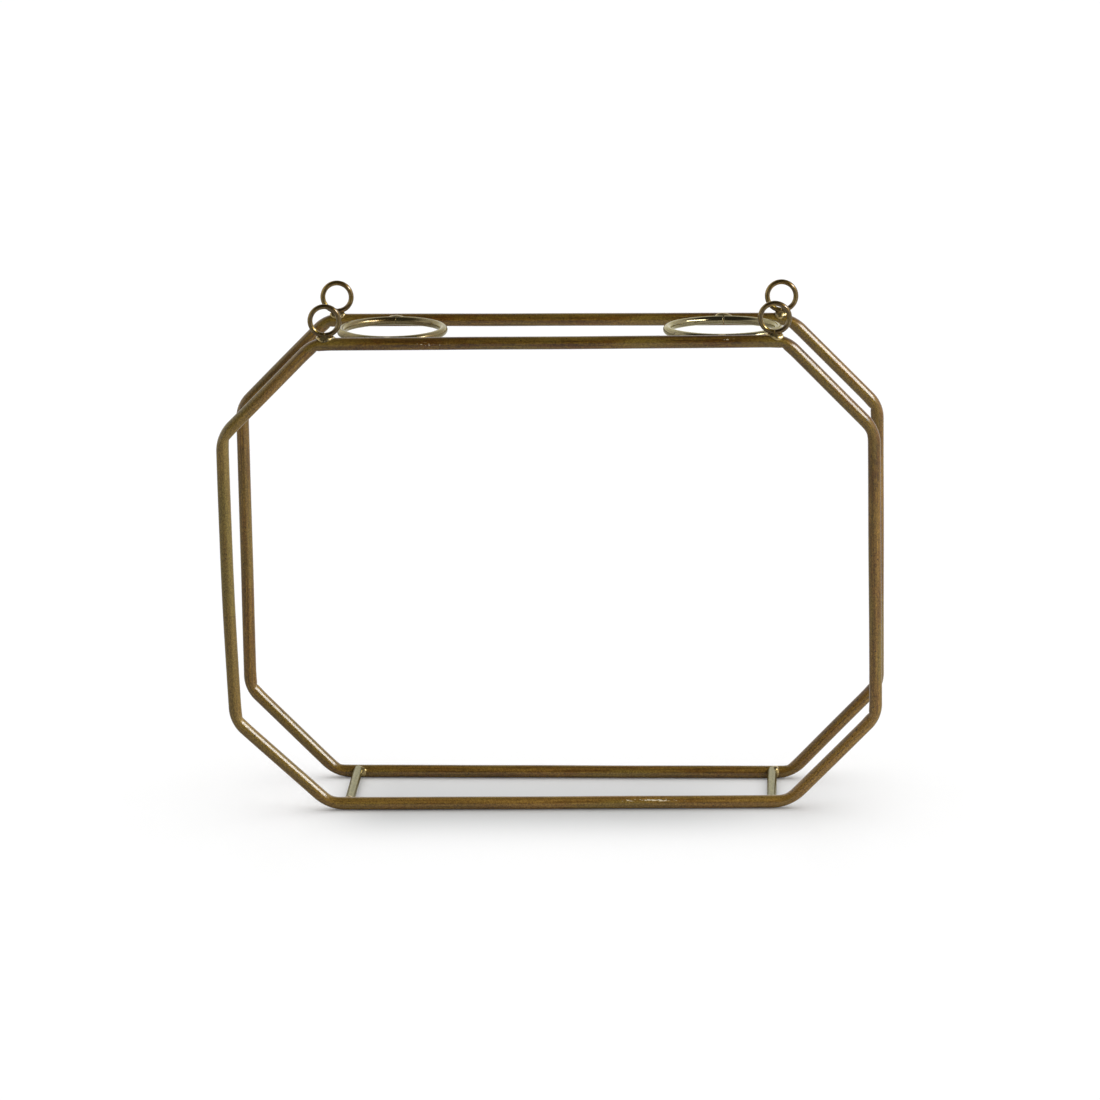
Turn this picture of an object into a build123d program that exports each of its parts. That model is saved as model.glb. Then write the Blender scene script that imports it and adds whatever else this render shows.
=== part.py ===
from build123d import *
import math
import os

# A hanging holder for two small vessels, in brass-finished rod and wire. Sizes are in millimetres.
# X runs right along the rails, Y from the front loop to the back one, and Z up.
# The origin lies on the standing plane, midway between the loops.

# The two loops, bent from round rod
rod_diameter = 6.35  # quarter-inch rod
loop_width = 318.0  # between the centre lines of the upright sides
loop_height = 233.0  # between the centre lines of the top and bottom rails
corner_cut = 44.0  # what each slanting corner takes off, both ways
bend_radius = 11.0  # of the rod's centre line
back_shift = 1.5  # the back loop stands this much further right
splay = 1.5  # degrees by which the loops part towards the left
foot_pinch = 2.2  # by which the back loop leans in from its top rail to its bottom rail

# How far bends lie to the right of and above their places in a true octagon, as bent by hand
front_bends = {
    "right shoulder": (-0.7, -0.5),
    "right foot": (0.7, 0.0),
    "left foot": (2.5, 0.0),
    "left hip": (0.7, -0.8),
    "left shoulder": (-2.2, -2.0),
}
back_bends = {
    "top right": (0.8, 0.0),
    "right hip": (0.0, 1.6),
    "left hip": (0.6, 0.0),
}

# The rings that hold the vessels, between the top rails
ring_outer = 54.6  # of the left ring, which is round and sets the loops apart
ring_wire = 4.2
ring_lift = 0.7  # of the ring's plane above the rails' centre lines
ring_slit = 0.6  # between the wire's ends, at the back
ring_inset = 33.5  # of its middle from the top rail's corner

# The cross wires between the bottom rails
spreader_wire = 4.8
spreader_lift = 0.8  # of the wire above the rails' centre lines
spreader_inset = 9.9  # from the bottom rail's corner

# Rings and spreaders sit a little to the right of the loops' middle
ring_offset = 2.7
spreader_offset = 2.2

# The hanging eyes, standing on the top rails
eye_bore = 11.7
eye_wire = 2.5
eye_slit = 0.6  # between the wire's ends, at the bottom
front_left_eye_inset = 5.5  # from the top rail's corner
front_right_eye_inset = 5.0
back_left_eye_inset = 5.0
back_right_eye_inset = 3.5

# The braze between each wire and its rod
braze_gap = 0.15
braze_sink = 0.6  # of a bead's own axis below the rod's surface
eye_bead_half_length = 4.0
eye_bead_flank = 0.85  # beside the wire
ring_bead_half_length = 4.0
ring_bead_flank = 0.2
spreader_bead_reach = 1.9  # along the wire
spreader_bead_flank = 1.2

# Heights and places worked out from these
rod_radius = rod_diameter / 2
bottom_rail_height = rod_radius
top_rail_height = bottom_rail_height + loop_height
rail_half_length = loop_width / 2 - corner_cut
ring_places = {
    "left": ring_offset + ring_inset - rail_half_length,
    "right": ring_offset + rail_half_length - ring_inset,
}
spreader_places = {
    "left": spreader_offset + spreader_inset - rail_half_length,
    "right": spreader_offset + rail_half_length - spreader_inset,
}

# Level distance from a rail's centre line to the centre line of the ring wire brazed to it
ring_reach = math.sqrt((rod_radius + braze_gap + ring_wire / 2) ** 2 - ring_lift**2)
ring_radius = (ring_outer - ring_wire) / 2


def loop_spacing(x):
    """Distance between the top rails' centre lines at x: the left ring sets it, the splay changes it."""
    at_left_ring = 2 * (ring_radius + ring_reach)
    return at_left_ring - math.tan(math.radians(splay)) * (x - ring_places["left"])


def loop_plane(side, shift, pinch):
    """The plane of a loop, with side -1 for the front one and 1 for the back one.
    From its top rail down to its bottom rail it leans in by pinch."""
    along = Vector(1, 0, 0).rotate(Axis.Z, -side * splay / 2)
    rising = Vector(0, side * pinch, loop_height)
    lean_below_top = pinch * top_rail_height / loop_height
    return Plane(
        origin=(shift, side * (loop_spacing(shift) / 2 - lean_below_top), 0),
        x_dir=along,
        z_dir=along.cross(rising),
    )


def wire_along(path, diameter):
    """A round wire along a path, with a face of its own for each run and bend."""
    section = Plane(origin=path @ 0, z_dir=path % 0) * Circle(diameter / 2)
    return sweep(section, path=path, clean=False)


def spheroid(half_length, radius):
    """The blank of a braze bead, a spheroid about the X axis with the seam of its surface at +Y."""
    half_section = Ellipse(half_length, radius) & Pos(0, radius) * Rectangle(2 * half_length, 2 * radius)
    return revolve(half_section, Axis.X)


def bead(blank, *pieces):
    """A braze bead: the part of its blank that the pieces it joins leave free."""
    for piece in pieces:
        blank -= piece
    return blank


turned_over = Rot(180, 0, 0)


# Loops: an octagon with bent corners, one behind the other
front_plane = loop_plane(-1, 0, 0)
back_plane = loop_plane(1, back_shift, foot_pinch)
loop_planes = {"front": front_plane, "back": back_plane}


def loop_path(plane, bends):
    """A loop's centre line from the top rail's left end, with its bends moved as they were made by hand."""
    side = loop_width / 2
    upper = top_rail_height - corner_cut
    lower = bottom_rail_height + corner_cut
    octagon = {
        "top left": (-rail_half_length, top_rail_height),
        "top right": (rail_half_length, top_rail_height),
        "right shoulder": (side, upper),
        "right hip": (side, lower),
        "right foot": (rail_half_length, bottom_rail_height),
        "left foot": (-rail_half_length, bottom_rail_height),
        "left hip": (-side, lower),
        "left shoulder": (-side, upper),
    }
    corners = [Vector(place) + Vector(bends.get(name, (0, 0))) for name, place in octagon.items()]
    return plane * FilletPolyline(*corners, radius=bend_radius, close=True)


loop_paths = {
    "front": loop_path(front_plane, front_bends),
    "back": loop_path(back_plane, back_bends),
}
loops = {place: wire_along(path, rod_diameter) for place, path in loop_paths.items()}
loop_clearances = {
    place: wire_along(path, rod_diameter + 2 * braze_gap) for place, path in loop_paths.items()
}
parts = {f"{place}_loop": solid for place, solid in loops.items()}

# Vessel rings: four tangent arcs that make a circle, or an oval of the same wire length
ring_height = top_rail_height + ring_lift
arc_join = 45.0


def ring_path(x):
    """The ring's centre line at x, from one side of its slit to the other, squeezed to fit the loops."""
    half_depth = loop_spacing(x) / 2 - ring_reach
    half_width = 2 * ring_radius - half_depth
    turn = math.radians(arc_join)
    end_offset = (half_width - half_depth) / (1 + math.tan(turn) - 1 / math.cos(turn))
    end_radius = half_width - end_offset
    side_offset = end_offset * math.tan(turn)
    side_radius = half_depth + side_offset
    slit_turn = math.degrees(math.asin(ring_slit / 2 / side_radius))
    half_side = 90 - arc_join - slit_turn
    arcs = [
        CenterArc((0, -side_offset), side_radius, 90 - slit_turn, -half_side),
        CenterArc((end_offset, 0), end_radius, arc_join, -2 * arc_join),
        CenterArc((0, side_offset), side_radius, -arc_join, 2 * arc_join - 180),
        CenterArc((-end_offset, 0), end_radius, arc_join - 180, -2 * arc_join),
        CenterArc((0, -side_offset), side_radius, 180 - arc_join, -half_side),
    ]
    return Pos(x, 0, ring_height) * Wire(arcs)


# A ring's beads lie in the groove between its wire and each rail, with their seams inside the rod
towards_ring = (rod_radius - braze_sink) / (rod_radius + braze_gap + ring_wire / 2)
ring_bead_inset = ring_reach * towards_ring
ring_bead_height = top_rail_height + ring_lift * towards_ring
ring_bead = spheroid(ring_bead_half_length, braze_sink + ring_wire / 2 + ring_bead_flank)
ring_bead_turns = {"front": turned_over, "back": Rot(0, 0, 0)}
for name, x in ring_places.items():
    ring = wire_along(ring_path(x), ring_wire)
    parts[f"{name}_vessel_ring"] = ring
    for place, side in (("front", -1), ("back", 1)):
        seat = Pos(x, side * (loop_spacing(x) / 2 - ring_bead_inset), ring_bead_height)
        blank = seat * ring_bead_turns[place] * ring_bead
        parts[f"{name}_ring_{place}_braze"] = bead(blank, loops[place], ring)

# Spreaders: cross wires with their ends shaped to the bottom rails
spreader_height = bottom_rail_height + spreader_lift
rail_face = math.sqrt(rod_radius**2 - spreader_lift**2)
spreader_bead = Rot(0, 0, 90) * spheroid(spreader_bead_reach, spreader_wire / 2 + spreader_bead_flank)
for name, x in spreader_places.items():
    rails = {"front": -loop_spacing(x) / 2, "back": loop_spacing(x) / 2 - foot_pinch}
    straight_wire = Cylinder(spreader_wire / 2, rails["back"] - rails["front"], rotation=(90, 0, 0))
    spreader = Pos(x, (rails["front"] + rails["back"]) / 2, spreader_height) * straight_wire
    for clearance in loop_clearances.values():
        spreader -= clearance
    parts[f"{name}_spreader"] = spreader
    for place, inward in (("front", 1), ("back", -1)):
        seat = Pos(x, rails[place] + inward * rail_face, spreader_height)
        parts[f"{name}_spreader_{place}_braze"] = bead(seat * spreader_bead, loops[place], spreader)

# Hanging eyes: wire bent to a C and stood on the top rails with its ends down, in the braze
eye_radius = (eye_bore + eye_wire) / 2
eye_height = top_rail_height + rod_radius + braze_gap + eye_wire / 2 + eye_radius
eye_slit_turn = math.degrees(math.asin(eye_slit / 2 / eye_radius))
eye_path = CenterArc((0, 0), eye_radius, eye_slit_turn - 90, 360 - 2 * eye_slit_turn)
eye = wire_along(eye_path, eye_wire)
eye_bead = spheroid(eye_bead_half_length, braze_sink + eye_wire / 2 + eye_bead_flank)
eye_places = {
    "front_left": front_left_eye_inset - rail_half_length,
    "front_right": rail_half_length - front_right_eye_inset,
    "back_left": back_left_eye_inset - rail_half_length,
    "back_right": rail_half_length - back_right_eye_inset,
}
for name, along in eye_places.items():
    place = name.split("_")[0]
    plane = loop_planes[place]
    standing_eye = plane * Pos(along, eye_height) * eye
    parts[f"{name}_eye"] = standing_eye
    seat = plane * Pos(along, top_rail_height + rod_radius - braze_sink)
    parts[f"{name}_eye_braze"] = bead(seat * turned_over * eye_bead, loops[place], standing_eye)

os.makedirs("parts", exist_ok=True)
for node, solid in parts.items():
    export_step(solid, f"parts/{node}.step")
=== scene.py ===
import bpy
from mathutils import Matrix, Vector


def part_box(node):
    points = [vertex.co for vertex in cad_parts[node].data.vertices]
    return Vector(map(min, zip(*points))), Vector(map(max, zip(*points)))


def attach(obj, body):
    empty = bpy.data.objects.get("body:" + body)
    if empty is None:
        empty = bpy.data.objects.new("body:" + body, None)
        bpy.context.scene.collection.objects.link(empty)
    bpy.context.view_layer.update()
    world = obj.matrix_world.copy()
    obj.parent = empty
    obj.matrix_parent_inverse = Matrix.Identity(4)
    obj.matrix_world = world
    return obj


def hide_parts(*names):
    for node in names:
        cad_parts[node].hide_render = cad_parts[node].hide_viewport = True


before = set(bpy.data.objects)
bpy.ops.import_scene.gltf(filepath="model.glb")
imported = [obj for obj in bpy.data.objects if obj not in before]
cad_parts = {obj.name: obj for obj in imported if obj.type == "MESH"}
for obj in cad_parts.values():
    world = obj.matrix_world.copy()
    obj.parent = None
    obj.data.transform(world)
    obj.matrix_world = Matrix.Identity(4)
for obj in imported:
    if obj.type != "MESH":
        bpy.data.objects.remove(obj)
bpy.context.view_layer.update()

import math

import bpy
import numpy as np
from mathutils import Matrix, Vector

# Front and back loops
# Each is one length of quarter-inch steel rod, bent cold at eight corners and closed by a dressed butt weld.
# The finish is antique brass: a brass coat darkened to brown and olive, rubbed along the rod and lacquered.
mm = 0.001
rod_radius = 3.175 * mm
loop_width = 318.0 * mm
loop_height = 233.0 * mm
corner_cut = 44.0 * mm
foot_pinch = 2.2 * mm  # the back loop leans in by this from its top rail to its bottom rail
leans = {"front": 0.0, "back": foot_pinch / loop_height}
bend_swell = 0.25 * mm
bend_swell_reach = 4.0 * mm
hand_wobble = 0.05 * mm
in_plane_waves = ((5, 1.0, 1), (13, 0.6, 2))  # count round the loop, height and share of the phase
across_waves = ((4, 1.0, 3), (11, 0.5, 1))
left_bow = 0.6 * mm
bend_rows = 17
run_rows = 46
rod_columns = 40
upward = np.array([0.0, 0.0, 1.0])

# How far bends lie to the right of and above their places in a true octagon, in mm
hand_bends = {
    "front": {
        "right shoulder": (-0.7, -0.5),
        "right foot": (0.7, 0.0),
        "left foot": (2.5, 0.0),
        "left hip": (0.7, -0.8),
        "left shoulder": (-2.2, -2.0),
    },
    "back": {"top right": (0.8, 0.0), "right hip": (0.0, 1.6), "left hip": (0.6, 0.0)},
}

# Radii of the rod's inner and outer side in a bend, in mm: creased inside unless it is named here
creased_bend = (2.5, 18.0)
open_bends = {
    "front": {
        "right shoulder": (9.0, 22.0),
        "right foot": (9.0, 24.0),
        "left foot": (8.0, 23.0),
        "left hip": (4.0, 19.0),
        "left shoulder": (4.0, 21.0),
    },
    "back": {"right foot": (5.0, 21.0), "left foot": (5.0, 21.0), "top right": (4.0, 21.0)},
}


def loop_corners(place):
    """The eight corners of a loop's centre line in its own plane, clockwise from the top rail's left end,
    and the inner and outer radius of the bend at each. The corners come from the loop's box and lie where
    they were bent by hand."""
    low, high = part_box(f"{place}_loop")
    right = high.x - rod_radius
    left = right - loop_width
    top = high.z - rod_radius
    bottom = low.z + rod_radius
    octagon = {
        "top left": (left + corner_cut, top),
        "top right": (right - corner_cut, top),
        "right shoulder": (right, top - corner_cut),
        "right hip": (right, bottom + corner_cut),
        "right foot": (right - corner_cut, bottom),
        "left foot": (left + corner_cut, bottom),
        "left hip": (left, bottom + corner_cut),
        "left shoulder": (left, top - corner_cut),
    }
    moved = np.array([hand_bends[place].get(name, (0.0, 0.0)) for name in octagon])
    radii = np.array([open_bends[place].get(name, creased_bend) for name in octagon])
    return np.array(list(octagon.values())) + moved * mm, radii * mm


def bent_rod(corners, radii, bows):
    """Points of a bent rod in its own plane, by row along it and column round it, with the outward
    direction and the length along of each row and the angle of each column.
    A fibre at angle a round the rod runs outside the corner polygon by the rod's radius times cos a.
    It rounds each corner with its own radius, growing evenly with cos a from inside to outside.
    Beside a creased bend the inner fibres swell by d squared times exp(1 - d squared), d being the
    distance from it, and a run may bow outwards by 4 s (1 - s) times its bow, s being the share run."""
    edges = np.roll(corners, -1, axis=0) - corners
    lengths = np.linalg.norm(edges, axis=1)
    outward = np.stack([-edges[:, 1], edges[:, 0]], axis=1) / lengths[:, None]
    arriving = np.roll(outward, 1, axis=0)
    facing = (arriving * outward).sum(axis=1)
    mitre = (arriving + outward) / (1 + facing)[:, None]
    turn = -np.arccos(facing)
    start = np.arctan2(arriving[:, 1], arriving[:, 0])

    share = np.linspace(0, 1, bend_rows)
    angle = start[:, None] + turn[:, None] * share
    bend_normal = np.stack([np.cos(angle), np.sin(angle)], axis=2)
    round_angle = np.linspace(0, 2 * np.pi, rod_columns, endpoint=False)
    offset = rod_radius * np.cos(round_angle)
    middle_radius = radii.mean(axis=1)
    half_range = (radii[:, 1] - radii[:, 0]) / 2
    fibre_radius = middle_radius[:, None] + np.outer(half_range, np.cos(round_angle))
    bends = (
        corners[:, None, None]
        + (offset - fibre_radius)[:, None, :, None] * mitre[:, None, None]
        + fibre_radius[:, None, :, None] * bend_normal[:, :, None]
    )

    step = (np.arange(run_rows) + 1.0) / (run_rows + 1)
    run_starts = bends[:, -1][:, None]
    run_ends = np.roll(bends[:, 0], -1, axis=0)[:, None]
    runs = run_starts + (run_ends - run_starts) * step[None, :, None, None]
    bow = np.outer(bows, 4 * step * (1 - step))
    runs = runs + (bow[..., None] * outward[:, None])[:, :, None]
    run_normal = np.repeat(outward[:, None], run_rows, axis=1)

    def bulge(distance):
        """How far the inner side swells at a distance from a bend, as a share of its most."""
        return (distance / bend_swell_reach) ** 2 * np.exp(1 - (distance / bend_swell_reach) ** 2)

    half_bend = (middle_radius * np.abs(turn) / 2)[:, None]
    run_length = np.linalg.norm((run_ends - run_starts).mean(axis=2), axis=2)
    crease = bend_swell * np.minimum(1, creased_bend[0] * mm / radii[:, :1])
    bend_swells = crease * bulge(half_bend * np.abs(2 * share - 1))
    run_swells = crease * bulge(half_bend + run_length * step)
    next_bend = np.roll(half_bend, -1, axis=0) + run_length * (1 - step)
    run_swells = run_swells + np.roll(crease, -1, axis=0) * bulge(next_bend)
    swell = np.concatenate([bend_swells, run_swells], axis=1)
    inner = np.maximum(0, -np.cos(round_angle)) ** 2
    normal = np.concatenate([bend_normal, run_normal], axis=1)
    plane_points = np.concatenate([bends, runs], axis=1)
    plane_points = plane_points - (swell[:, :, None] * inner)[..., None] * normal[:, :, None]

    plane_points = plane_points.reshape(-1, rod_columns, 2)
    normal = normal.reshape(-1, 2)
    centre = plane_points.mean(axis=1)
    steps = np.linalg.norm(np.roll(centre, -1, axis=0) - centre, axis=1)
    along = np.concatenate([[0.0], np.cumsum(steps)])
    return plane_points, normal, along, round_angle


def box_middle(node):
    """The middle of a node's box."""
    low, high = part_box(node)
    return np.array((low + high) / 2)


def loop_frame(place):
    """The plane of a loop, through the middles of its two eyes: its point at X 0 and Z 0, its steps for
    each unit of X and of Z, and the direction square to it."""
    left = box_middle(f"{place}_left_eye")
    right = box_middle(f"{place}_right_eye")
    forward = (right - left) / (right - left)[0]
    rising = np.array([0.0, leans[place], 1.0])
    across = np.cross(rising, forward)
    return left - left[0] * forward - left[2] * rising, forward, rising, across / np.linalg.norm(across)


def slow_wave(turns, phase, waves):
    """hand_wobble times the sum of the waves: each is its height times the sine of its count times the
    turns plus its share of the phase."""
    return hand_wobble * sum(height * np.sin(count * turns + lag * phase) for count, height, lag in waves)


def in_loop_plane(place, plane_points, normal, along, round_angle, phase):
    """The rod's points in the frame. A slow wave of the centre line, in whole periods round the loop,
    stands for bending by hand."""
    origin, forward, rising, across = loop_frame(place)
    turns = 2 * np.pi * along[:-1] / along[-1]
    wave = slow_wave(turns, phase, in_plane_waves)
    weave = slow_wave(turns, phase, across_waves)
    flat = plane_points + (wave[:, None] * normal)[:, None]
    depth = rod_radius * np.sin(round_angle) + weave[:, None]
    return origin + flat[..., :1] * forward + flat[..., 1:] * rising + depth[..., None] * across


def smooth_step(value, low, high):
    """Goes from 0 at low to 1 at high as 3 t squared minus 2 t cubed."""
    t = np.clip((value - low) / (high - low), 0, 1)
    return t * t * (3 - 2 * t)


# Where the rods' finish changed, and where painted shade darkens the tops of the top rails: X or Z where a
# change starts and where it is full, in mm
painted_top_shade_z = (235.0, 238.0)
foot_z = (245.0, 0.0)
shoulder_x = (-105.0, -135.0)
shoulder_z = (90.0, 190.0)
olive_x = (-135.0, -158.0)
olive_z = (25.0, 75.0)

# How far each change and the painted shade went, from 0 to 1
# Painted shade: how dark the tops of each loop's top rail are painted
painted_top_shade = {"front": 0.38, "back": 0.47}
back_rubbing = 0.35
# The front loop is lighter and more golden towards its foot and at its left shoulder
foot_lightening = 0.75
shoulder_lightening = 0.8
upright_olive = 0.6

# Scuffs of the front loop's rails: X and Z of the middle, half length and half height in mm, and strength
scuffs = (
    (45.0, 4.9, 27.0, 0.9, 1.25),
    (-58.0, 236.5, 34.0, 2.6, 0.76),
    (87.5, 237.8, 4.5, 0.8, 1.4),
)


def rod_patina_and_shade(points, place):
    """How the finish changed at each point: rubbed golden or, below 0, darkened; turned olive; scuffed.
    The tops of the top rails are darkened by painted shade. The front loop is lighter and more golden towards
    its foot and at its left shoulder, and turned olive at its left upright. Each scuff on its front fades as
    exp of minus the squared distance from its middle, in its half sizes."""
    x, y, z = np.moveaxis(points / mm, 2, 0)
    # Painted shade on the upper side of the top rails
    darkening_and_painted_shade = painted_top_shade[place] * smooth_step(z, *painted_top_shade_z)
    if place == "back":
        return np.stack([back_rubbing - darkening_and_painted_shade, 0 * x, 0 * x], axis=2)
    left_shoulder = smooth_step(x, *shoulder_x) * smooth_step(z, *shoulder_z)
    # Lighter towards the foot and at the left shoulder, less the painted top shade
    rubbed = np.maximum(foot_lightening * smooth_step(z, *foot_z), shoulder_lightening * left_shoulder) - darkening_and_painted_shade
    olive = upright_olive * smooth_step(x, *olive_x) * smooth_step(z, *olive_z)
    facing_front = y < y.mean(axis=1, keepdims=True)
    scuffed = 0 * x
    for scuff_x, scuff_z, half_length, half_height, strength in scuffs:
        fade = np.exp(-(((x - scuff_x) / half_length) ** 2) - ((z - scuff_z) / half_height) ** 2)
        scuffed = np.maximum(scuffed, strength * fade * facing_front)
    return np.stack([rubbed, olive, scuffed], axis=2)


def surface_piece(name, points, along, round_angle, radius, closed, patina_and_shade=None):
    """A mesh from a grid of points, rows along the piece and columns round it.
    Rows join up when closed, and otherwise each end is closed by a fan about its middle.
    The corner attribute grain holds radius times cosine and sine of the angle round, and the length along.
    The point attribute for the finish holds how far it is rubbed or, below 0, darkened, on the top rails by
    painted shade; olive and scuffed; or a bead burnt."""
    rows, columns = points.shape[:2]
    row = np.arange(rows if closed else rows - 1)[:, None]
    column = np.arange(columns)[None, :]
    corner_rows = np.stack(np.broadcast_arrays(row, row + 1, row + 1, row), axis=2)
    corner_rows = np.broadcast_to(corner_rows, (len(row), columns, 4))
    corner_columns = np.stack([column, column, column + 1, column + 1], axis=2)
    corner_columns = np.broadcast_to(corner_columns, corner_rows.shape)
    quads = (corner_rows % rows) * columns + corner_columns % columns
    corner_angle = round_angle[corner_columns % columns]
    grain = np.stack(
        [radius * np.cos(corner_angle), radius * np.sin(corner_angle), along[corner_rows]], axis=3
    )
    vertices = points.reshape(-1, 3)
    changes = np.zeros_like(vertices) if patina_and_shade is None else patina_and_shade.reshape(-1, 3)
    faces = quads.reshape(-1, 4).tolist()
    grain = grain.reshape(-1, 3)
    if not closed:
        ends = np.stack([points[0].mean(axis=0), points[-1].mean(axis=0)])
        vertices = np.concatenate([vertices, ends])
        changes = np.concatenate([changes, 0 * ends])
        here = np.arange(columns)
        after = (here + 1) % columns
        first_pole = np.full(columns, rows * columns)
        last = (rows - 1) * columns
        fans = np.concatenate(
            [
                np.stack([first_pole, here, after], axis=1),
                np.stack([first_pole + 1, last + after, last + here], axis=1),
            ]
        )
        faces += fans.tolist()
        fan_along = np.repeat([along[0], along[rows - 1]], 3 * columns)
        fan_grain = np.stack([0 * fan_along, 0 * fan_along, fan_along], axis=1)
        grain = np.concatenate([grain, fan_grain])
    mesh = bpy.data.meshes.new(name)
    mesh.from_pydata(vertices.tolist(), [], faces)
    mesh.attributes.new("grain", "FLOAT_VECTOR", "CORNER")
    mesh.attributes["grain"].data.foreach_set("vector", grain.astype(np.float32).ravel())
    mesh.attributes.new("patina_and_shade", "FLOAT_VECTOR", "POINT")
    mesh.attributes["patina_and_shade"].data.foreach_set("vector", changes.astype(np.float32).ravel())
    mesh.shade_smooth()
    piece = bpy.data.objects.new(name, mesh)
    bpy.context.scene.collection.objects.link(piece)
    return piece


def add_node(tree, kind, inputs=None, **settings):
    """A new shader node: settings are its properties, inputs are values or sockets by name or number."""
    made = tree.nodes.new(kind)
    for name, value in settings.items():
        setattr(made, name, value)
    for key, value in (inputs or {}).items():
        if isinstance(value, bpy.types.NodeSocket):
            tree.links.new(value, made.inputs[key])
        else:
            made.inputs[key].default_value = value
    return made


def effect_group(name, inputs, outputs):
    """An empty shader node group with named sockets, its input sockets and its output node."""
    tree = bpy.data.node_groups.new(name, "ShaderNodeTree")
    for socket, kind in inputs.items():
        tree.interface.new_socket(name=socket, in_out="INPUT", socket_type=kind)
    for socket, kind in outputs.items():
        tree.interface.new_socket(name=socket, in_out="OUTPUT", socket_type=kind)
    entry = tree.nodes.new("NodeGroupInput")
    result = tree.nodes.new("NodeGroupOutput")
    return tree, entry.outputs, result


def stretched(tree, grain, across, along):
    """The grain vector divided by a size across the rod and a size along it."""
    split = add_node(tree, "ShaderNodeSeparateXYZ", {0: grain})
    first = add_node(tree, "ShaderNodeMath", {0: split.outputs[0], 1: across}, operation="DIVIDE")
    second = add_node(tree, "ShaderNodeMath", {0: split.outputs[1], 1: across}, operation="DIVIDE")
    third = add_node(tree, "ShaderNodeMath", {0: split.outputs[2], 1: along}, operation="DIVIDE")
    joined = add_node(
        tree,
        "ShaderNodeCombineXYZ",
        {0: first.outputs[0], 1: second.outputs[0], 2: third.outputs[0]},
    )
    return joined.outputs[0]


def between(tree, value, low, high):
    """The value taken smoothly from 0 at low to 1 at high."""
    made = add_node(
        tree,
        "ShaderNodeMapRange",
        {"Value": value, "From Min": low, "From Max": high},
        interpolation_type="SMOOTHSTEP",
    )
    return made.outputs["Result"]


def mixed(tree, share, first, second):
    """A colour between first and second."""
    made = add_node(tree, "ShaderNodeMix", {0: share, 6: first, 7: second}, data_type="RGBA")
    return made.outputs[2]


def weighted(tree, value, factor, addend=0.0):
    """Value times factor plus addend."""
    made = add_node(
        tree, "ShaderNodeMath", {0: value, 1: factor, 2: addend}, operation="MULTIPLY_ADD"
    )
    return made.outputs[0]


def grain_noise(tree, grain, size, limits, detail, fourth=None):
    """Noise in cells of a size across and along the wire, taken smoothly from 0 at the first limit to 1 at
    the second. A fourth coordinate gives it a pattern of its own."""
    inputs = {"Vector": stretched(tree, grain, *size), "Scale": 1.0, "Detail": detail}
    settings = {}
    if fourth is not None:
        inputs["W"] = fourth
        settings["noise_dimensions"] = "4D"
    noise = add_node(tree, "ShaderNodeTexNoise", inputs, **settings)
    return between(tree, noise.outputs["Fac"], *limits)


# Sizes of the finish's patterns across and along the wire, and the noise where each starts and is full
streak_limits = (0.34, 0.66)
olive_width = 7 * mm
olive_limits = (0.42, 0.66)
cloud_size = (0.9 * mm, 2.4 * mm)
cloud_limits = (0.36, 0.64)
russet_size = (2.5 * mm, 8 * mm)
russet_limits = (0.46, 0.62)
russet_fourth = 4.0
speck_size = (0.5 * mm, 0.8 * mm)
speck_limits = (0.40, 0.62)
dash_size = (0.5 * mm, 1.8 * mm)
dash_start = 0.95  # on a place without scuffs, and lower by dash_gain where they are full
dash_gain = 0.42
dash_softness = 0.08
pit_spacing = 3.4 * mm
pit_limits = (0.13, 0.05)


def drawn_streaks():
    """Long thin lines left by drawing the wire through its die and by rubbing it down."""
    tree, given, result = effect_group(
        "drawn_streaks",
        {"Grain": "NodeSocketVector", "Width": "NodeSocketFloat", "Length": "NodeSocketFloat"},
        {"Streak": "NodeSocketFloat"},
    )
    size = (given["Width"], given["Length"])
    streaks = grain_noise(tree, given["Grain"], size, streak_limits, detail=4.0)
    tree.links.new(streaks, result.inputs["Streak"])
    return tree


def tarnish_clouds():
    """Slow patches where the finish turned olive, smaller clouds of brown and gold, russet flecks, and dark
    grains."""
    tree, given, result = effect_group(
        "tarnish_clouds",
        {"Grain": "NodeSocketVector", "Patch": "NodeSocketFloat"},
        dict.fromkeys(("Olive", "Cloud", "Russet", "Speck"), "NodeSocketFloat"),
    )
    grain = given["Grain"]
    olive_size = (olive_width, given["Patch"])
    patterns = {
        "Olive": grain_noise(tree, grain, olive_size, olive_limits, detail=2.0),
        "Cloud": grain_noise(tree, grain, cloud_size, cloud_limits, detail=4.0),
        "Russet": grain_noise(tree, grain, russet_size, russet_limits, detail=4.0, fourth=russet_fourth),
        "Speck": grain_noise(tree, grain, speck_size, speck_limits, detail=2.0),
    }
    for name, pattern in patterns.items():
        tree.links.new(pattern, result.inputs[name])
    return tree


def handling_marks():
    """Short pale dashes where the finish is scuffed, and sparse round dark pits."""
    tree, given, result = effect_group(
        "handling_marks",
        {"Grain": "NodeSocketVector", "Amount": "NodeSocketFloat"},
        {"Bare": "NodeSocketFloat", "Pit": "NodeSocketFloat"},
    )
    start = weighted(tree, given["Amount"], -dash_gain, dash_start)
    full = weighted(tree, start, 1.0, dash_softness)
    dashes = grain_noise(tree, given["Grain"], dash_size, (start, full), detail=3.0)
    tree.links.new(dashes, result.inputs["Bare"])
    pits = add_node(tree, "ShaderNodeTexVoronoi", {"Vector": given["Grain"], "Scale": 1 / pit_spacing})
    tree.links.new(between(tree, pits.outputs["Distance"], *pit_limits), result.inputs["Pit"])
    return tree


streak_effect = drawn_streaks()
tarnish_effect = tarnish_clouds()
marks_effect = handling_marks()

# How much each pattern changes the tone, the gloss and the relief of the finish
streak_share = 0.7
cloud_share = 0.3
russet_share = 0.6
olive_share = 0.6
speck_share = 0.34
least_rubbing = 0.5  # the share of the rubbing that shows on the brown parts
speck_roughening = 0.12
gold_smoothing = 0.10
pit_depth = 1.5  # in heights of the drawn lines
line_depth = 0.05 * mm
scuff_dulling = 0.7


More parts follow.
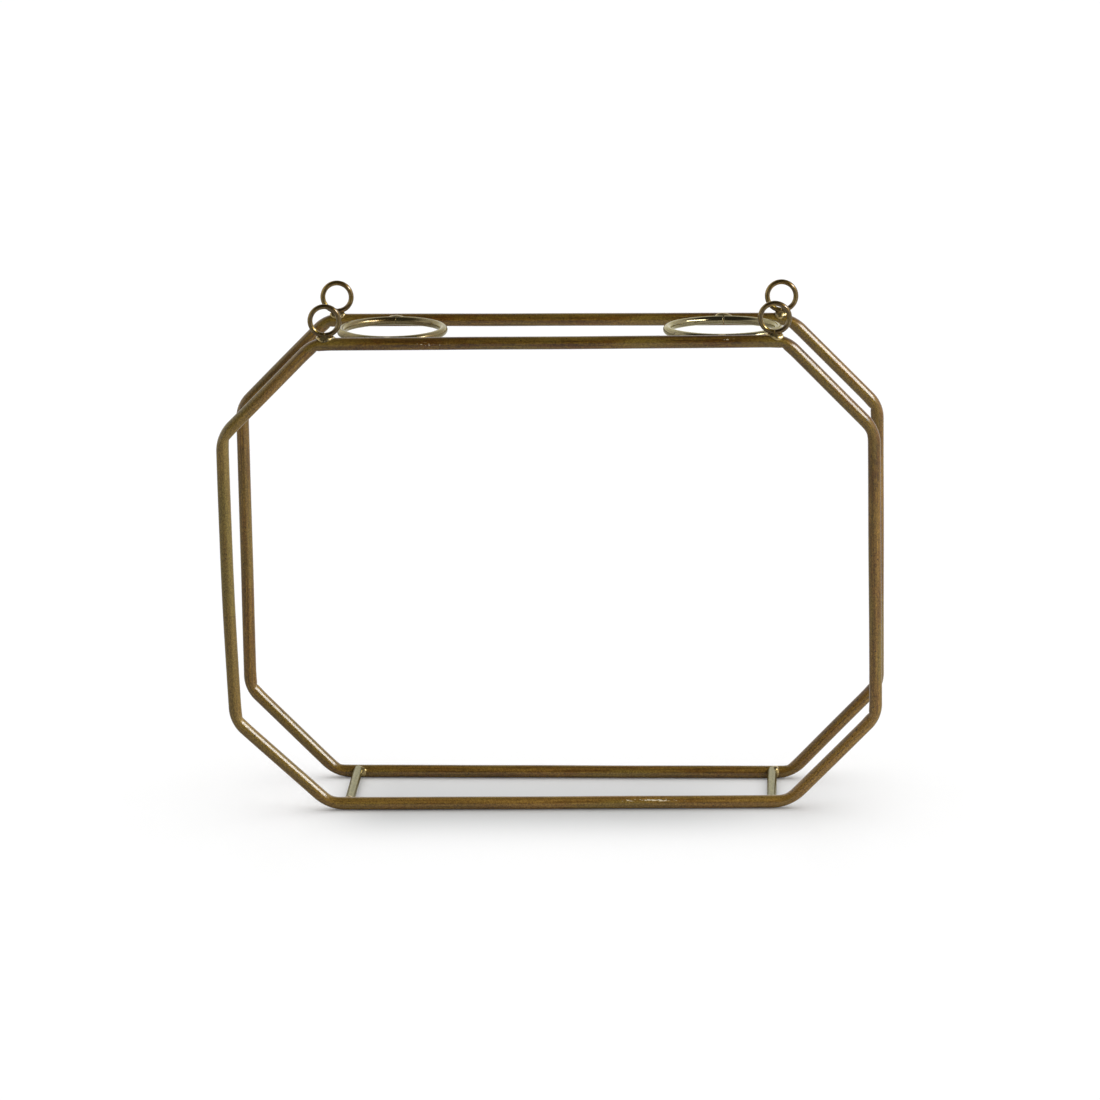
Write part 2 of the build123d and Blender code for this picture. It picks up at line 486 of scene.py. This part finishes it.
def aged_brass(name, tones, streak_size, patch, roughness, lacquer, haze, relief):
    """Lacquered antique brass. Streaks and clouds go from the brown tone to the gold one, some turn russet
    and patches turn olive. Rubbed places are golden. Where the first value of the finish attribute is below 0
    the tone darkens, which on the top rails is painted shade; specks and pits are dark, and scuffs show pale
    and matt. The edge tone is what the metal mirrors at a slant, and haze is the lacquer's own roughness."""
    material = bpy.data.materials.new(name)
    material.use_nodes = True
    tree = material.node_tree
    shader = tree.nodes["Principled BSDF"]
    grain = add_node(tree, "ShaderNodeAttribute", attribute_name="grain").outputs["Vector"]
    patina_and_shade = add_node(tree, "ShaderNodeAttribute", attribute_name="patina_and_shade").outputs["Vector"]
    # The first value is rubbing, and below 0 darkening, which on the top rails is painted shade
    rubbed, olive, scuffed = add_node(tree, "ShaderNodeSeparateXYZ", {0: patina_and_shade}).outputs
    streak = add_node(tree, "ShaderNodeGroup", node_tree=streak_effect)
    tree.links.new(grain, streak.inputs["Grain"])
    streak.inputs["Width"].default_value = streak_size[0]
    streak.inputs["Length"].default_value = streak_size[1]
    tarnish = add_node(tree, "ShaderNodeGroup", node_tree=tarnish_effect)
    tree.links.new(grain, tarnish.inputs["Grain"])
    tarnish.inputs["Patch"].default_value = patch
    mark = add_node(tree, "ShaderNodeGroup", node_tree=marks_effect)
    tree.links.new(grain, mark.inputs["Grain"])
    tree.links.new(scuffed, mark.inputs["Amount"])

    drawn = weighted(tree, streak.outputs["Streak"], streak_share)
    golden = weighted(tree, tarnish.outputs["Cloud"], cloud_share, drawn)
    colour = mixed(tree, golden, tones["brown"], tones["gold"])
    colour = mixed(tree, weighted(tree, tarnish.outputs["Russet"], russet_share), colour, tones["russet"])
    showing = weighted(tree, golden, 1 - least_rubbing, least_rubbing)
    worn = add_node(tree, "ShaderNodeMath", {0: rubbed, 1: showing}, operation="MULTIPLY")
    colour = mixed(tree, worn.outputs[0], colour, tones["rubbed"])
    # The first value below 0 darkens the tone: painted shade on the top rails, and the front eyes' darker
    # tone
    darkening_and_painted_shade = weighted(tree, rubbed, -1.0)
    colour = mixed(tree, darkening_and_painted_shade, colour, tones["dark"])
    greened = weighted(tree, tarnish.outputs["Olive"], olive_share, olive)
    colour = mixed(tree, greened, colour, tones["olive"])
    colour = mixed(tree, weighted(tree, tarnish.outputs["Speck"], speck_share), colour, tones["dark"])
    colour = mixed(tree, mark.outputs["Pit"], colour, tones["dark"])
    colour = mixed(tree, mark.outputs["Bare"], colour, tones["bare"])
    tree.links.new(colour, shader.inputs["Base Color"])
    rough = weighted(tree, tarnish.outputs["Speck"], speck_roughening, roughness)
    rough = weighted(tree, golden, -gold_smoothing, rough)
    tree.links.new(rough, shader.inputs["Roughness"])
    height = weighted(tree, mark.outputs["Pit"], -pit_depth, streak.outputs["Streak"])
    bump = add_node(
        tree, "ShaderNodeBump", {"Strength": relief, "Distance": line_depth, "Height": height}
    )
    tree.links.new(bump.outputs["Normal"], shader.inputs["Normal"])
    metal = weighted(tree, mark.outputs["Bare"], -scuff_dulling, 1.0)
    tree.links.new(metal, shader.inputs["Metallic"])
    shader.inputs["Specular Tint"].default_value = tones["edge"]
    shader.inputs["Coat Weight"].default_value = lacquer
    shader.inputs["Coat Roughness"].default_value = haze
    return material


rod_brass = aged_brass(
    "rod_brass",
    {
        "brown": (0.084, 0.035, 0.004, 1.0),
        "gold": (0.345, 0.196, 0.023, 1.0),
        "russet": (0.200, 0.076, 0.008, 1.0),
        "rubbed": (0.465, 0.280, 0.066, 1.0),
        "olive": (0.300, 0.217, 0.042, 1.0),
        "dark": (0.034, 0.016, 0.004, 1.0),
        "bare": (0.75, 0.66, 0.47, 1.0),
        "edge": (0.25, 0.20, 0.12, 1.0),
    },
    streak_size=(1.1 * mm, 40 * mm),
    patch=48 * mm,
    roughness=0.78,
    lacquer=0.95,
    haze=0.2,
    relief=0.15,
)
left_upright = 6  # the run from the left hip to the left shoulder
straight_runs = np.zeros(8)
bowed_left = straight_runs.copy()
bowed_left[left_upright] = left_bow
for place, phase, bows in (("front", 0.4, bowed_left), ("back", 1.9, straight_runs)):
    plane_points, normal, along, round_angle = bent_rod(*loop_corners(place), bows)
    points = in_loop_plane(place, plane_points, normal, along, round_angle, phase)
    patina_and_shade = rod_patina_and_shade(points, place)
    loop = surface_piece(f"{place}_loop_rod", points, along, round_angle, rod_radius, True, patina_and_shade)
    loop.data.materials.append(rod_brass)
    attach(loop, "root")
    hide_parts(f"{place}_loop")

# Vessel rings
# Each is 4.2 mm wire rolled to a ring between the top rails, its ends butted at the back. The wire was
# polished before brazing, so it stays paler and shinier than the rod, the right ring more than the left.
ring_rows = 220
wire_columns = 28
ring_slits = {"left": 0.05 * mm, "right": 0.6 * mm}  # the left one is closed by its braze
ring_rubbed = {"left": 0.1, "right": 0.8}
ring_roughness = {"left": 0.30, "right": 0.14}
end_rounding = 0.3 * mm
end_rows = 5


def round_wire(path, outward, upright, radius):
    """Points round a wire: path plus radius times (cos a outward + sin a upright), a going once round.
    Each end is rounded off by a quarter circle. Also the length of each row and the angles round."""
    round_angle = np.linspace(0, 2 * np.pi, wire_columns, endpoint=False)
    quarter = np.linspace(0, np.pi / 2, end_rows, endpoint=False)
    shrink = np.concatenate([np.sin(quarter) - 1, np.zeros(len(path)), np.sin(quarter[::-1]) - 1])
    first_step = (path[0] - path[1]) / np.linalg.norm(path[0] - path[1])
    last_step = (path[-1] - path[-2]) / np.linalg.norm(path[-1] - path[-2])
    first = path[0] + end_rounding * np.cos(quarter)[:, None] * first_step
    last = path[-1] + end_rounding * np.cos(quarter[::-1])[:, None] * last_step
    centre = np.concatenate([first, path, last])
    pad = ((end_rows, end_rows), (0, 0))
    outward = np.pad(np.broadcast_to(outward, path.shape), pad, mode="edge")
    upright = np.pad(np.broadcast_to(upright, path.shape), pad, mode="edge")
    reach = (radius + end_rounding * shrink)[:, None, None]
    ring_cos = np.cos(round_angle)[None, :, None]
    ring_sin = np.sin(round_angle)[None, :, None]
    points = centre[:, None] + reach * (ring_cos * outward[:, None] + ring_sin * upright[:, None])
    along = np.concatenate([[0.0], np.cumsum(np.linalg.norm(np.diff(centre, axis=0), axis=1))])
    return points, along, round_angle


def oval_path(half_width, half_depth, slit):
    """An oval of four tangent arcs that meet where its normal lies at 45 degrees, from slit to slit.
    A point is its arc's centre plus its arc's radius times the normal."""
    side_radius = half_depth + (half_width - half_depth) / (2 - math.sqrt(2))
    half_slit = (slit / 2 + end_rounding) / side_radius
    turn = np.linspace(np.pi / 2 + half_slit, 5 * np.pi / 2 - half_slit, ring_rows)
    outward = np.stack([np.cos(turn), np.sin(turn), 0 * turn], axis=1)
    shift = side_radius - half_depth
    at_end = np.abs(outward[:, 0]) > np.abs(outward[:, 1])
    centre_x = np.where(at_end, shift * np.sign(outward[:, 0]), 0.0)
    centre_y = np.where(at_end, 0.0, -shift * np.sign(outward[:, 1]))
    radius = np.where(at_end, half_width - shift, side_radius)
    return np.stack([centre_x, centre_y, 0 * turn], axis=1) + radius[:, None] * outward, outward


ring_tones = {
    "brown": (0.090, 0.058, 0.014, 1.0),
    "gold": (0.280, 0.210, 0.070, 1.0),
    "russet": (0.150, 0.080, 0.018, 1.0),
    "rubbed": (0.320, 0.285, 0.155, 1.0),
    "olive": (0.260, 0.215, 0.090, 1.0),
    "dark": (0.040, 0.027, 0.009, 1.0),
    "bare": (0.60, 0.57, 0.48, 1.0),
    "edge": (0.90, 0.84, 0.52, 1.0),
}
for name in ("left", "right"):
    ring_brass = aged_brass(
        f"{name}_ring_brass",
        ring_tones,
        streak_size=(0.7 * mm, 14 * mm),
        patch=22 * mm,
        roughness=ring_roughness[name],
        lacquer=0.7,
        haze=0.06,
        relief=0.12,
    )
    node = f"{name}_vessel_ring"
    low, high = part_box(node)
    ring_radius = (high.z - low.z) / 2
    half_size = (high - low) / 2
    path, outward = oval_path(half_size.x - ring_radius, half_size.y - ring_radius, ring_slits[name])
    path = path + box_middle(node)
    points, along, round_angle = round_wire(path, outward, upward, ring_radius)
    patina_and_shade = np.zeros_like(points) + [ring_rubbed[name], 0.0, 0.0]
    ring = surface_piece(f"{node}_wire", points, along, round_angle, ring_radius, False, patina_and_shade)
    ring.data.materials.append(ring_brass)
    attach(ring, "root")
    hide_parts(node)

# Spreaders
# Two short straight wires that hold the bottom rails apart, their ends shaped to the rails and brazed.
# Their wire is a little thicker than the rings' and has a like pale finish, duller where it was handled.
spreader_rows = 60
leftward = np.array([-1.0, 0.0, 0.0])
spreader_brass = aged_brass(
    "spreader_brass",
    {
        "brown": (0.120, 0.098, 0.036, 1.0),
        "gold": (0.220, 0.190, 0.086, 1.0),
        "russet": (0.150, 0.110, 0.040, 1.0),
        "rubbed": (0.300, 0.260, 0.140, 1.0),
        "olive": (0.190, 0.178, 0.088, 1.0),
        "dark": (0.050, 0.040, 0.016, 1.0),
        "bare": (0.60, 0.57, 0.48, 1.0),
        "edge": (0.85, 0.82, 0.52, 1.0),
    },
    streak_size=(0.7 * mm, 14 * mm),
    patch=18 * mm,
    roughness=0.36,
    lacquer=0.6,
    haze=0.2,
    relief=0.25,
)
for name in ("left", "right"):
    node = f"{name}_spreader"
    low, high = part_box(node)
    spreader_radius = (high.x - low.x) / 2
    depth = np.linspace(low.y, high.y, spreader_rows)
    middle = (low + high) / 2
    path = np.stack([0 * depth + middle.x, depth, 0 * depth + high.z - spreader_radius], axis=1)
    points, along, round_angle = round_wire(path, upward, leftward, spreader_radius)
    spreader = surface_piece(f"{node}_wire", points, along, round_angle, spreader_radius, closed=False)
    spreader.data.materials.append(spreader_brass)
    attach(spreader, "root")
    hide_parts(node)

# Hanging eyes
# Four small rings of 2.5 mm wire for hanging the holder on a cord or a nail, bent round a pin.
# Their butted ends point down and are brazed to the top rails near the corners. The front ones are darker.
eye_rows = 140
eye_wire_radius = 1.25 * mm
eye_slit = 0.05 * mm  # closed by the braze
eye_darkening = {"front": 0.3, "back": 0.0}
eye_brass = aged_brass(
    "eye_brass",
    {
        "brown": (0.075, 0.042, 0.007, 1.0),
        "gold": (0.430, 0.283, 0.052, 1.0),
        "russet": (0.120, 0.060, 0.014, 1.0),
        "rubbed": (0.450, 0.310, 0.110, 1.0),
        "olive": (0.220, 0.170, 0.060, 1.0),
        "dark": (0.030, 0.018, 0.005, 1.0),
        "bare": (0.55, 0.51, 0.40, 1.0),
        "edge": (0.66, 0.55, 0.30, 1.0),
    },
    streak_size=(0.5 * mm, 9 * mm),
    patch=16 * mm,
    roughness=0.30,
    lacquer=1.0,
    haze=0.1,
    relief=0.18,
)
for place in ("front", "back"):
    for name in ("left", "right"):
        node = f"{place}_{name}_eye"
        low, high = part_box(node)
        _, forward, rising, across = loop_frame(place)
        outer_radius = (high.x - low.x) / 2
        eye_radius = outer_radius - eye_wire_radius
        middle = np.array([*((low + high) / 2).xy, high.z - outer_radius])
        half_slit = (eye_slit / 2 + end_rounding) / eye_radius
        turn = np.linspace(half_slit - np.pi / 2, 3 * np.pi / 2 - half_slit, eye_rows)
        outward = np.cos(turn)[:, None] * forward + np.sin(turn)[:, None] * rising
        path = middle + eye_radius * outward
        points, along, round_angle = round_wire(path, outward, -across, eye_wire_radius)
        patina_and_shade = np.zeros_like(points) - [eye_darkening[place], 0.0, 0.0]
        eye = surface_piece(f"{node}_wire", points, along, round_angle, eye_wire_radius, False, patina_and_shade)
        eye.data.materials.append(eye_brass)
        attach(eye, "root")
        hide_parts(node)

# Braze beads
# Brass filler that ran into each joint and set as an uneven lump, part bright brass and part burnt flux.
# Under the eyes it lies over the rail like a saddle; at the rings and spreaders it fills the groove.
bead_rows = 28
bead_columns = 44
lobe_sizes = (0.13, 0.09)  # of the two waves of a bead's outline, as shares of its size
saddle_ripples = (0.16, 0.12)  # of the two waves of its height
saddle_depth = 0.5 * mm  # how far it reaches into the rail
saddle_pole = 0.04  # radians about a pole that a fan closes
rim_square = 1.001  # a little over 1, so that the rim keeps some height
lump_ripple = 0.07
lump_pole = 0.06


def lobes(angle, phase):
    """A closed wavy factor about 1 for a lump's outline, from cosines of 2 and 3 times the angle round it."""
    first, second = lobe_sizes
    return 1 + first * np.cos(2 * angle + phase) + second * np.cos(3 * angle - 2 * phase)


def saddle(middle, forward, across, half_length, half_turn, height, phase):
    """A lump that lies over a rail: a point goes rho along and round the rail in an uneven outline.
    Its height over the rail is height times the root of 1 - rho squared, rippled, and its underside
    lies inside the rail."""
    rho = np.sin(np.linspace(saddle_pole, np.pi - saddle_pole, bead_rows))[:, None]
    over = (np.arange(bead_rows) < bead_rows / 2)[:, None]
    angle = np.linspace(0, 2 * np.pi, bead_columns, endpoint=False)
    run = half_length * rho * np.cos(angle) * lobes(angle, phase)
    turn = half_turn * rho * np.sin(angle) * lobes(angle, phase)
    fine, broad = saddle_ripples
    ripple = 1 + fine * np.sin(5 * angle + phase) * rho + broad * np.cos(2 * angle + 3 * phase) * rho
    dome = height * np.sqrt(rim_square - rho**2) * ripple
    sunk = -saddle_depth * np.sqrt(rim_square - rho**2) * np.ones_like(angle)
    reach = (rod_radius + np.where(over, dome, sunk))[..., None]
    round_rail = np.cos(turn)[..., None] * upward + np.sin(turn)[..., None] * across
    points = middle + run[..., None] * forward + reach * round_rail
    return points, angle


def lump(middle, axes, half_sizes, phase):
    """An uneven ellipsoid: latitude by row and longitude by column, swollen by lobes of both."""
    latitude = np.linspace(lump_pole, np.pi - lump_pole, bead_rows)[:, None]
    angle = np.linspace(0, 2 * np.pi, bead_columns, endpoint=False)
    swell = lobes(angle, phase) * np.sin(latitude) + 1 - np.sin(latitude)
    swell = swell + lump_ripple * np.sin(3 * latitude + phase) * np.cos(angle - phase)
    first = half_sizes[0] * np.cos(latitude) * swell
    second = half_sizes[1] * np.sin(latitude) * np.cos(angle) * swell
    third = half_sizes[2] * np.sin(latitude) * np.sin(angle) * swell
    points = (
        np.array(middle)
        + first[..., None] * axes[0]
        + second[..., None] * axes[1]
        + third[..., None] * axes[2]
    )
    return points, angle


filler_brass = (0.48, 0.36, 0.145, 1.0)
burnt_flux = (0.052, 0.041, 0.020, 1.0)
clot_size = 2.6 * mm
flux_weight = 0.3  # how far a bead's own share of flux moves the noise
burnt_limits = (0.56, 0.72)
filler_roughness = 0.30
flux_roughening = 0.06
ripple_size = 1.1 * mm
ripple_depth = 0.25 * mm


def braze_finish():
    """Bright brass filler with burnt flux in its hollows, more where patina's first value is higher."""
    material = bpy.data.materials.new("braze")
    material.use_nodes = True
    tree = material.node_tree
    shader = tree.nodes["Principled BSDF"]
    place = add_node(tree, "ShaderNodeTexCoord").outputs["Object"]
    clots = add_node(
        tree, "ShaderNodeTexNoise", {"Vector": place, "Scale": 1 / clot_size, "Detail": 3.0}
    )
    patina_and_shade = add_node(tree, "ShaderNodeAttribute", attribute_name="patina_and_shade").outputs["Vector"]
    flux = add_node(tree, "ShaderNodeSeparateXYZ", {0: patina_and_shade}).outputs[0]
    burnt = between(tree, weighted(tree, flux, flux_weight, clots.outputs["Fac"]), *burnt_limits)
    tree.links.new(mixed(tree, burnt, filler_brass, burnt_flux), shader.inputs["Base Color"])
    rough = weighted(tree, burnt, flux_roughening, filler_roughness)
    tree.links.new(rough, shader.inputs["Roughness"])
    ripples = add_node(
        tree, "ShaderNodeTexNoise", {"Vector": place, "Scale": 1 / ripple_size, "Detail": 2.0}
    )
    relief = add_node(
        tree,
        "ShaderNodeBump",
        {"Strength": 0.6, "Distance": ripple_depth, "Height": ripples.outputs["Fac"]},
    )
    tree.links.new(relief.outputs["Normal"], shader.inputs["Normal"])
    shader.inputs["Metallic"].default_value = 1.0
    shader.inputs["Coat Weight"].default_value = 0.6
    shader.inputs["Coat Roughness"].default_value = 0.12
    return material


braze = braze_finish()


def braze_piece(node, points, angle, flux):
    """A bead's mesh with its finish and its share of burnt flux, in place of its node."""
    along = np.zeros(bead_rows + 1)
    patina_and_shade = np.zeros_like(points) + [flux, 0.0, 0.0]
    piece = surface_piece(f"{node}_bead", points, along, angle, mm, False, patina_and_shade)
    piece.data.materials.append(braze)
    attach(piece, "root")
    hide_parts(node)


eye_bead_half_length = 4.2 * mm
eye_bead_half_turn = math.radians(68)
eye_bead_height = 1.5 * mm
eye_bead_flux = 0.2
rail_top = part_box("front_loop")[1].z
phase = 0.3
phase_step = 1.1  # from bead to bead, so that no two are alike
for place in ("front", "back"):
    origin, forward, rising, across = loop_frame(place)
    for name in ("left", "right"):
        x = box_middle(f"{place}_{name}_eye_braze")[0]
        middle = origin + x * forward + (rail_top - rod_radius) * rising
        points, angle = saddle(
            middle, forward, across, eye_bead_half_length, eye_bead_half_turn, eye_bead_height, phase
        )
        braze_piece(f"{place}_{name}_eye_braze", points, angle, eye_bead_flux)
        phase += phase_step

ring_bead_half_sizes = (4.6 * mm, 2.3 * mm, 2.3 * mm)
ring_bead_lifts = {"front": -0.2 * mm, "back": 0.9 * mm}
ring_bead_flux = -0.3
spreader_bead_half_sizes = (2.3 * mm, 2.8 * mm, 3.3 * mm)
spreader_bead_drop = 0.4 * mm
spreader_bead_flux = 0.0
spreader_bead_shifts = {"front": 0.0, "back": 1.6 * mm}  # how far the filler ran to the right
world_axes = np.eye(3)
depth_axes = world_axes[[1, 2, 0]]
for name in ("left", "right"):
    ring_low, ring_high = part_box(f"{name}_vessel_ring")
    for place, ring_end in (("front", ring_low), ("back", ring_high)):
        node = f"{name}_ring_{place}_braze"
        middle = box_middle(node)
        middle[1] = ring_end.y
        middle[2] += ring_bead_lifts[place]
        braze_piece(node, *lump(middle, world_axes, ring_bead_half_sizes, phase), ring_bead_flux)
        phase += phase_step
        node = f"{name}_spreader_{place}_braze"
        low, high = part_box(node)
        middle = box_middle(node)
        middle[0] += spreader_bead_shifts[place]
        middle[1] = low.y if place == "front" else high.y
        middle[2] -= spreader_bead_drop
        braze_piece(node, *lump(middle, depth_axes, spreader_bead_half_sizes, phase), spreader_bead_flux)
        phase += phase_step

# Floor
# A plain pale board under the holder. It takes the holder's soft shadow, and a broad painted shadow, a darker
# colour in the board itself, lies between and in front of the bottom rails. In the metal's reflections the
# board shows a painted grey instead, darker to the left and lighter to the right as if lit from that side.
floor_reach = 8.0
floor_mesh = bpy.data.meshes.new("floor")
floor_mesh.from_pydata(
    [
        (-floor_reach, -floor_reach, 0),
        (floor_reach, -floor_reach, 0),
        (floor_reach, floor_reach, 0),
        (-floor_reach, floor_reach, 0),
    ],
    [],
    [(0, 1, 2, 3)],
)
floor = bpy.data.objects.new("floor", floor_mesh)
bpy.context.scene.collection.objects.link(floor)
# Painted shadow in the board's own colour, round the bottom rails
shade_strength = 0.39
shade_reach_front = 29 * mm  # of the shade from the front rail towards the camera
shade_reach_back = 60 * mm
shade_left = (-135 * mm, -78 * mm)  # X where the shade starts and is full
shade_right = (185 * mm, 40 * mm)
shade_tail = 25 * mm  # behind the back rail
board_white = (0.90, 0.90, 0.90, 1.0)
painted_shadow_colour = (0.0, 0.015, 0.010, 1.0)
board_glow = 0.08
# Painted light in reflections: the grey that the metal sees in the board, lighter to the right
painted_side_light_reach = 0.4  # to each side, from the first to the second level that the metal mirrors
painted_side_light_levels = (0.46, 0.76)
board = bpy.data.materials.new("pale_board")
board.use_nodes = True
board_tree = board.node_tree
board_shader = board_tree.nodes["Principled BSDF"]


def board_math(operation, first, second=0.0):
    """One step of arithmetic in the board's material."""
    return add_node(board_tree, "ShaderNodeMath", {0: first, 1: second}, operation=operation).outputs[0]


def half_bell(distance, reach):
    """exp of minus half the square of a distance in its reach, for distances above 0, and 1 below."""
    share = board_math("DIVIDE", board_math("MAXIMUM", distance, 0.0), reach)
    return board_math("EXPONENT", board_math("MULTIPLY", board_math("MULTIPLY", share, share), -0.5))


board_path = add_node(board_tree, "ShaderNodeLightPath").outputs
board_place = add_node(board_tree, "ShaderNodeTexCoord").outputs["Object"]
board_x, board_y = add_node(board_tree, "ShaderNodeSeparateXYZ", {0: board_place}).outputs[:2]
front_rail_y = loop_frame("front")[0][1]
back_rail_y = loop_frame("back")[0][1]
before_rail = board_math("SUBTRACT", front_rail_y, board_y)
behind_rail = board_math("SUBTRACT", board_y, front_rail_y)
# The painted shadow's strength at each point of the board
shade = shade_strength
for share in (
    between(board_tree, board_x, *shade_left),
    between(board_tree, board_x, *shade_right),
    between(board_tree, board_y, back_rail_y + shade_tail, back_rail_y),
    half_bell(before_rail, shade_reach_front),
    half_bell(behind_rail, shade_reach_back),
):
    shade = board_math("MULTIPLY", shade, share)
# Painted side light: the board's grey in reflections, from darker on the left to lighter on the right
painted_side_light = add_node(
    board_tree,
    "ShaderNodeMapRange",
    {
        "Value": board_x,
        "From Min": -painted_side_light_reach,
        "From Max": painted_side_light_reach,
        "To Min": painted_side_light_levels[0],
        "To Max": painted_side_light_levels[1],
    },
    interpolation_type="SMOOTHSTEP",
).outputs[0]
board_painted_side_light = add_node(
    board_tree, "ShaderNodeCombineColor", {0: painted_side_light, 1: painted_side_light, 2: painted_side_light}
).outputs[0]
# The board's colour, darkened by the painted shadow; its glow for the camera fades there too
board_shaded = mixed(board_tree, shade, board_white, painted_shadow_colour)
# Reflections in the metal see the painted side light in place of the board's colour
board_colour = mixed(board_tree, board_path["Is Glossy Ray"], board_shaded, board_painted_side_light)
board_tree.links.new(board_colour, board_shader.inputs["Base Color"])
seen_directly = board_math("MAXIMUM", board_path["Is Camera Ray"], board_path["Is Transmission Ray"])
glowing = board_math("MULTIPLY", seen_directly, board_math("SUBTRACT", 1.0, shade))
glowing = board_math("MULTIPLY", glowing, board_glow)
board_tree.links.new(glowing, board_shader.inputs["Emission Strength"])
board_shader.inputs["Emission Color"].default_value = (1.0, 1.0, 1.0, 1.0)
board_shader.inputs["Roughness"].default_value = 0.5
board_shader.inputs["Specular IOR Level"].default_value = 0.1
floor_mesh.materials.append(board)

# Light
# A long soft box to the right shows only as a streak in the metal, and a broad lamp overhead lights the
# floor. The room that the metal mirrors is pale near the horizon, and dark above and behind the camera.
soft_box_direction = Vector((0.73, -0.40, 0.55))
soft_box_long_way = Vector((-0.29, -0.91, -0.29))
soft_box_aim = Vector((0, 0, 0.12))
soft_box_distance = 3.0
overhead_direction = Vector((0.10, 0.25, 0.96))
dark_direction = (0.0, -0.57, 0.82)
dark_aside = 0.45  # how much the dark side fades to the left and right
room_limits = (0.02, 0.5)  # how near the dark direction the room starts to darken and is darkest
room_levels = (1.00, 0.06)
diffuse_level = 0.8


def aimed_lamp(name, kind, direction, long_way):
    """A lamp of a kind that shines from a direction, with its own X axis as near as can be to long_way."""
    data = bpy.data.lights.new(name, kind)
    lamp = bpy.data.objects.new(name, data)
    back = direction.normalized()
    side = (long_way - back * back.dot(long_way)).normalized()
    lamp.matrix_world = Matrix((side, back.cross(side), back)).transposed().to_4x4()
    bpy.context.scene.collection.objects.link(lamp)
    return lamp


soft_box = aimed_lamp("side_soft_box", "AREA", soft_box_direction, soft_box_long_way)
soft_box.location = soft_box_aim + soft_box_distance * soft_box_direction.normalized()
soft_box.data.shape = "RECTANGLE"
soft_box.data.size = 2.3
soft_box.data.size_y = 0.55
soft_box.data.energy = 82
soft_box.visible_diffuse = False
soft_box.visible_camera = False
overhead_lamp = aimed_lamp("overhead_lamp", "SUN", overhead_direction, Vector((1.0, 0.0, 0.0)))
overhead_lamp.data.energy = 0.9
overhead_lamp.data.angle = math.radians(75)
overhead_lamp.visible_glossy = False

world = bpy.data.worlds.new("studio")
bpy.context.scene.world = world
world.use_nodes = True
sky = world.node_tree
background = sky.nodes["Background"]
background.inputs["Color"].default_value = (1.0, 1.0, 1.0, 1.0)
path = add_node(sky, "ShaderNodeLightPath").outputs
direction = add_node(sky, "ShaderNodeTexCoord").outputs["Generated"]
towards_dark = add_node(
    sky, "ShaderNodeVectorMath", {0: direction, 1: dark_direction}, operation="DOT_PRODUCT"
).outputs["Value"]
sideways = add_node(sky, "ShaderNodeSeparateXYZ", {0: direction}).outputs[0]
sideways = add_node(sky, "ShaderNodeMath", {0: sideways}, operation="ABSOLUTE").outputs[0]
room = add_node(
    sky,
    "ShaderNodeMapRange",
    {
        "Value": weighted(sky, sideways, -dark_aside, towards_dark),
        "From Min": room_limits[0],
        "From Max": room_limits[1],
        "To Min": room_levels[0],
        "To Max": room_levels[1],
    },
    interpolation_type="SMOOTHSTEP",
).outputs["Result"]
unseen_level = add_node(
    sky, "ShaderNodeMix", {0: path["Is Glossy Ray"], 2: diffuse_level, 3: room}, data_type="FLOAT"
).outputs[0]
seen = add_node(
    sky,
    "ShaderNodeMath",
    {0: path["Is Camera Ray"], 1: path["Is Transmission Ray"]},
    operation="MAXIMUM",
).outputs[0]
level = add_node(sky, "ShaderNodeMix", {0: seen, 2: unseen_level, 3: 1.0}, data_type="FLOAT").outputs[0]
sky.links.new(level, background.inputs["Strength"])

# Camera
# It stands a little right of the middle and above, far off with a long lens.
camera_yaw = math.radians(2.763)
camera_pitch = math.radians(13.439)
camera_roll = math.radians(-0.808)
camera_distance = 2.737
camera_target = Vector((0, 0, 119.675 * mm))
camera_aside = -2.53 * mm
camera_above = 5.40 * mm
backward = Vector(
    (
        math.sin(camera_yaw) * math.cos(camera_pitch),
        -math.cos(camera_yaw) * math.cos(camera_pitch),
        math.sin(camera_pitch),
    )
)
level_right = Vector((math.cos(camera_yaw), math.sin(camera_yaw), 0))
level_up = backward.cross(level_right)
right = math.cos(camera_roll) * level_right + math.sin(camera_roll) * level_up
up = math.cos(camera_roll) * level_up - math.sin(camera_roll) * level_right
place = camera_target + camera_aside * right + camera_above * up + camera_distance * backward
camera_data = bpy.data.cameras.new("camera")
camera_data.lens = 180
camera_data.sensor_width = 36
camera = bpy.data.objects.new("camera", camera_data)
camera.matrix_world = Matrix.Translation(place) @ Matrix((right, up, backward)).transposed().to_4x4()
bpy.context.scene.collection.objects.link(camera)
bpy.context.scene.camera = camera
bpy.context.scene.view_settings.view_transform = "Standard"
